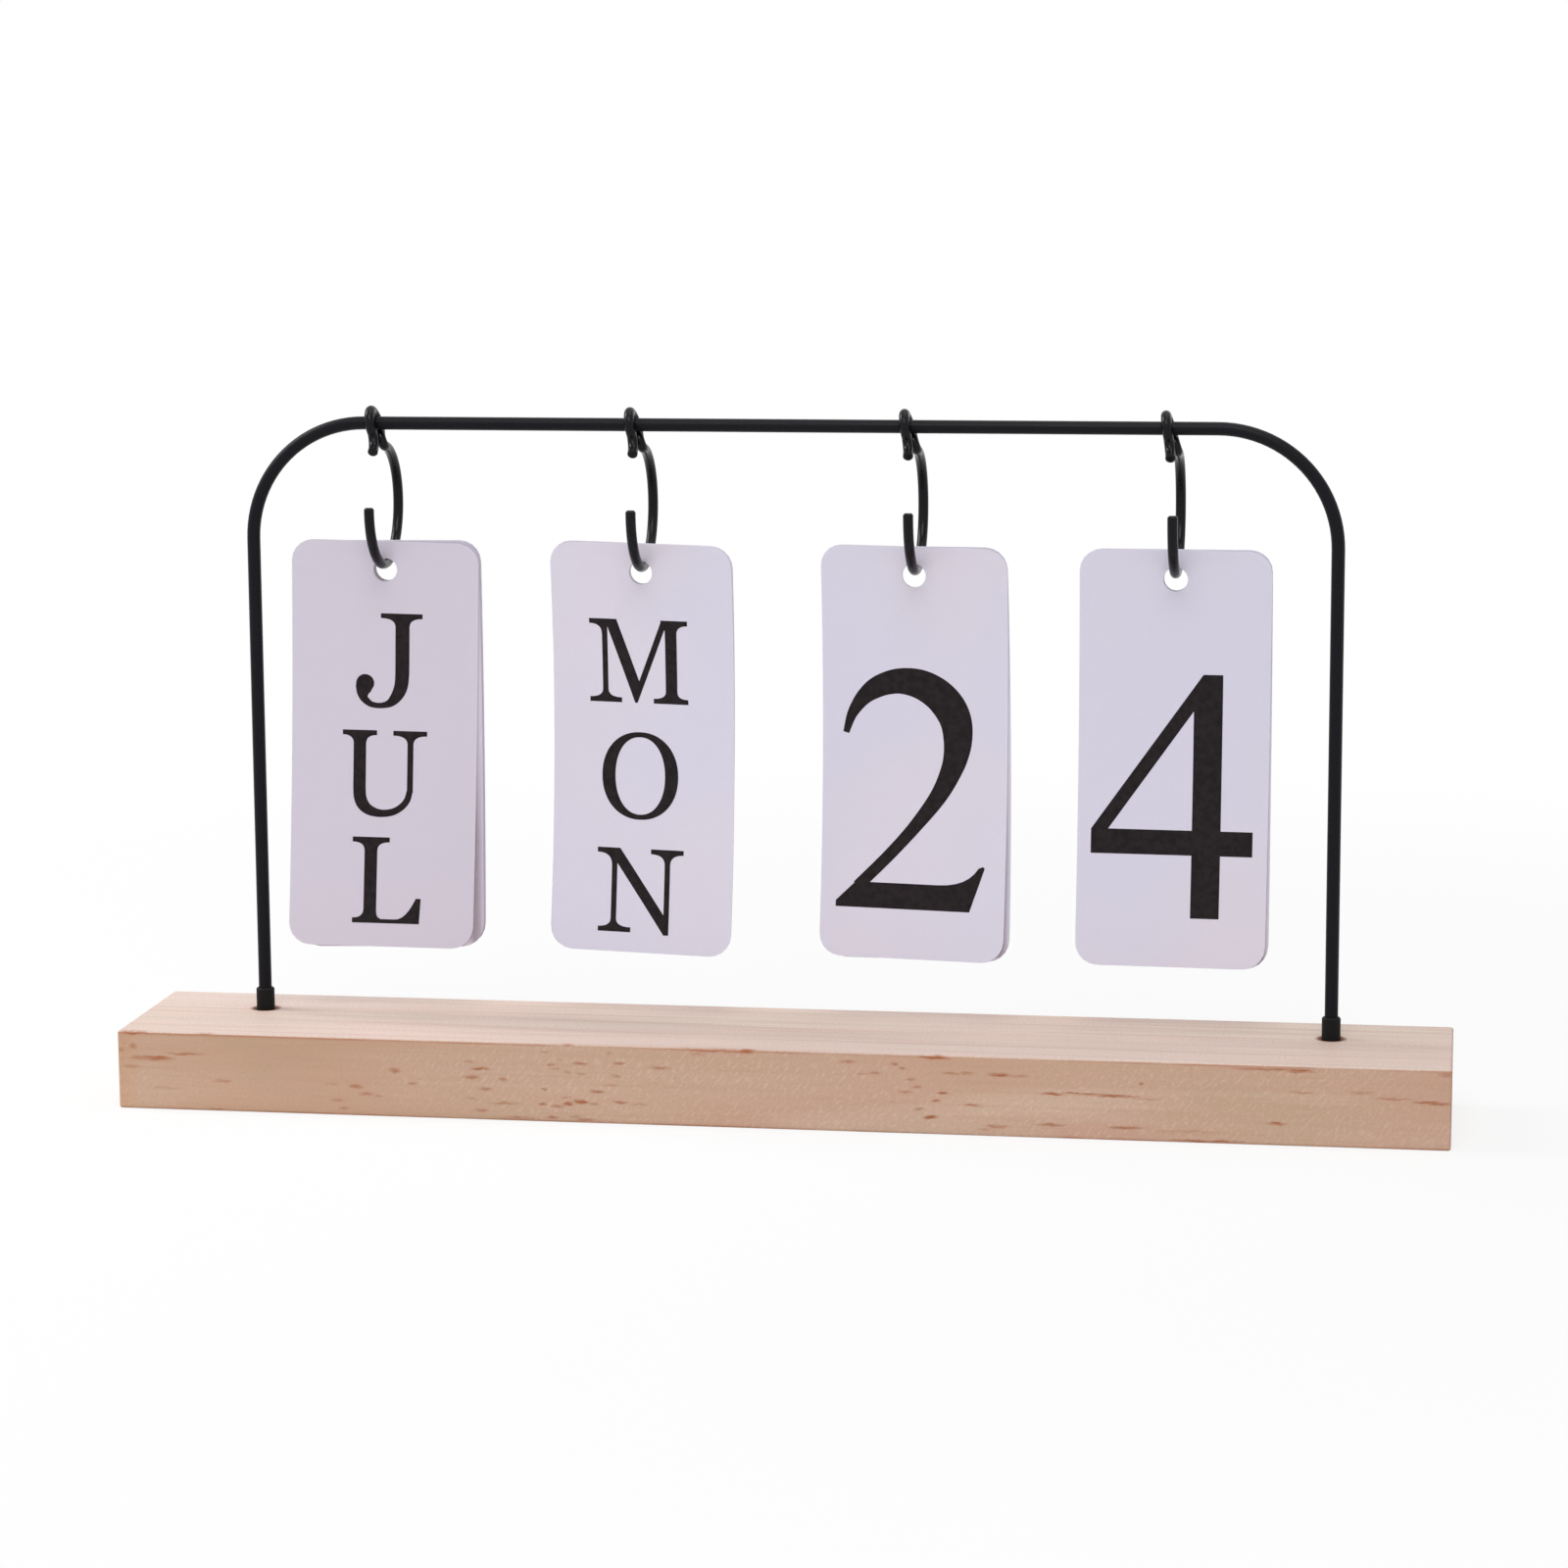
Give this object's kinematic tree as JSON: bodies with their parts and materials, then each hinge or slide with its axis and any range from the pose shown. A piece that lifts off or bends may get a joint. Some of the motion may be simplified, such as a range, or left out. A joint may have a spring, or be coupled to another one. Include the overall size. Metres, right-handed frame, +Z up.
{
  "type": "desk flip calendar",
  "caption": "Desk flip calendar: black wire arch on a pine bar, with punched month, weekday and date cards hung in stacks on open wire rings.",
  "frame": {"origin": "middle of the base bar's underside, where it stands on the table", "axes": "+X along the bar towards the units cards, -Y to the reader in front, +Z up"},
  "size_m": [0.3, 0.044, 0.1583],
  "materials": {
    "pine": "planed and sanded, unvarnished",
    "black_rod": "satin black paint",
    "black_wire": "gloss black enamel",
    "black_sleeve": "matt black, slightly rubbery",
    "white_card": "smooth coated card",
    "black_print": "matt black print on card"
  },
  "bodies": {
    "stand": {"base": "pine", "wire_arch": "black_rod", "foot_sleeve_left": "black_sleeve", "foot_sleeve_right": "black_sleeve"},
    "month_hook": {"month_hook": "black_wire"},
    "month_card_1": {"month_card_1": "white_card"},
    "month_card_2": {"month_card_2": "white_card"},
    "month_card_3": {"month_card_3": "white_card"},
    "month_card_4": {"month_card_4": "white_card"},
    "month_card_5": {"month_card_5": "white_card"},
    "month_card_6": {"month_card_6": "white_card"},
    "weekday_hook": {"weekday_hook": "black_wire"},
    "weekday_card_1": {"weekday_card_1": "white_card"},
    "weekday_card_2": {"weekday_card_2": "white_card"},
    "weekday_card_3": {"weekday_card_3": "white_card"},
    "weekday_card_4": {"weekday_card_4": "white_card"},
    "tens_hook": {"tens_hook": "black_wire"},
    "tens_card_1": {"tens_card_1": "white_card"},
    "tens_card_2": {"tens_card_2": "white_card"},
    "units_hook": {"units_hook": "black_wire"},
    "units_card_1": {"units_card_1": "white_card"},
    "units_card_2": {"units_card_2": "white_card"},
    "units_card_3": {"units_card_3": "white_card"},
    "units_card_4": {"units_card_4": "white_card"},
    "units_card_5": {"units_card_5": "white_card"}
  },
  "joints": [
    {"name": "month_hook_swing", "type": "hinge", "parent": "stand", "child": "month_hook", "pos_m": [-0.0923, 0.006, 0.15427], "axis": [1, 0, 0], "range_deg": [-60, 60]},
    {"name": "month_card_1_turn", "type": "hinge", "parent": "month_hook", "child": "month_card_1", "pos_m": [-0.0923, 0.006, 0.1357], "axis": [-1, 0, 0], "range_deg": [0, 75]},
    {"name": "month_card_2_turn", "type": "hinge", "parent": "month_hook", "child": "month_card_2", "pos_m": [-0.0923, 0.006, 0.1357], "axis": [1, 0, 0], "range_deg": [0, 75]},
    {"name": "month_card_3_turn", "type": "hinge", "parent": "month_hook", "child": "month_card_3", "pos_m": [-0.0923, 0.006, 0.1357], "axis": [1, 0, 0], "range_deg": [0, 75]},
    {"name": "month_card_4_turn", "type": "hinge", "parent": "month_hook", "child": "month_card_4", "pos_m": [-0.0923, 0.006, 0.1357], "axis": [1, 0, 0], "range_deg": [0, 75]},
    {"name": "month_card_5_turn", "type": "hinge", "parent": "month_hook", "child": "month_card_5", "pos_m": [-0.0923, 0.006, 0.1357], "axis": [1, 0, 0], "range_deg": [0, 75]},
    {"name": "month_card_6_turn", "type": "hinge", "parent": "month_hook", "child": "month_card_6", "pos_m": [-0.0923, 0.006, 0.1357], "axis": [1, 0, 0], "range_deg": [0, 75]},
    {"name": "weekday_hook_swing", "type": "hinge", "parent": "stand", "child": "weekday_hook", "pos_m": [-0.0326, 0.006, 0.15427], "axis": [1, 0, 0], "range_deg": [-60, 60]},
    {"name": "weekday_card_1_turn", "type": "hinge", "parent": "weekday_hook", "child": "weekday_card_1", "pos_m": [-0.0326, 0.006, 0.1357], "axis": [-1, 0, 0], "range_deg": [0, 75]},
    {"name": "weekday_card_2_turn", "type": "hinge", "parent": "weekday_hook", "child": "weekday_card_2", "pos_m": [-0.0326, 0.006, 0.1357], "axis": [1, 0, 0], "range_deg": [0, 75]},
    {"name": "weekday_card_3_turn", "type": "hinge", "parent": "weekday_hook", "child": "weekday_card_3", "pos_m": [-0.0326, 0.006, 0.1357], "axis": [1, 0, 0], "range_deg": [0, 75]},
    {"name": "weekday_card_4_turn", "type": "hinge", "parent": "weekday_hook", "child": "weekday_card_4", "pos_m": [-0.0326, 0.006, 0.1357], "axis": [1, 0, 0], "range_deg": [0, 75]},
    {"name": "tens_hook_swing", "type": "hinge", "parent": "stand", "child": "tens_hook", "pos_m": [0.0295, 0.006, 0.15427], "axis": [1, 0, 0], "range_deg": [-60, 60]},
    {"name": "tens_card_1_turn", "type": "hinge", "parent": "tens_hook", "child": "tens_card_1", "pos_m": [0.0295, 0.006, 0.1357], "axis": [-1, 0, 0], "range_deg": [0, 75]},
    {"name": "tens_card_2_turn", "type": "hinge", "parent": "tens_hook", "child": "tens_card_2", "pos_m": [0.0295, 0.006, 0.1357], "axis": [1, 0, 0], "range_deg": [0, 75]},
    {"name": "units_hook_swing", "type": "hinge", "parent": "stand", "child": "units_hook", "pos_m": [0.0875, 0.006, 0.15427], "axis": [1, 0, 0], "range_deg": [-60, 60]},
    {"name": "units_card_1_turn", "type": "hinge", "parent": "units_hook", "child": "units_card_1", "pos_m": [0.0875, 0.006, 0.1357], "axis": [-1, 0, 0], "range_deg": [0, 75]},
    {"name": "units_card_2_turn", "type": "hinge", "parent": "units_hook", "child": "units_card_2", "pos_m": [0.0875, 0.006, 0.1357], "axis": [1, 0, 0], "range_deg": [0, 75]},
    {"name": "units_card_3_turn", "type": "hinge", "parent": "units_hook", "child": "units_card_3", "pos_m": [0.0875, 0.006, 0.1357], "axis": [1, 0, 0], "range_deg": [0, 75]},
    {"name": "units_card_4_turn", "type": "hinge", "parent": "units_hook", "child": "units_card_4", "pos_m": [0.0875, 0.006, 0.1357], "axis": [1, 0, 0], "range_deg": [0, 75]},
    {"name": "units_card_5_turn", "type": "hinge", "parent": "units_hook", "child": "units_card_5", "pos_m": [0.0875, 0.006, 0.1357], "axis": [1, 0, 0], "range_deg": [0, 75]}
  ],
  "couplings": [
    {"joint": "month_card_2_turn", "follows": "month_card_6_turn", "ratio": 0.2},
    {"joint": "month_card_3_turn", "follows": "month_card_6_turn", "ratio": 0.4},
    {"joint": "month_card_4_turn", "follows": "month_card_6_turn", "ratio": 0.6},
    {"joint": "month_card_5_turn", "follows": "month_card_6_turn", "ratio": 0.8},
    {"joint": "weekday_card_2_turn", "follows": "weekday_card_4_turn", "ratio": 0.33333},
    {"joint": "weekday_card_3_turn", "follows": "weekday_card_4_turn", "ratio": 0.66667},
    {"joint": "units_card_2_turn", "follows": "units_card_5_turn", "ratio": 0.25},
    {"joint": "units_card_3_turn", "follows": "units_card_5_turn", "ratio": 0.5},
    {"joint": "units_card_4_turn", "follows": "units_card_5_turn", "ratio": 0.75}
  ]
}
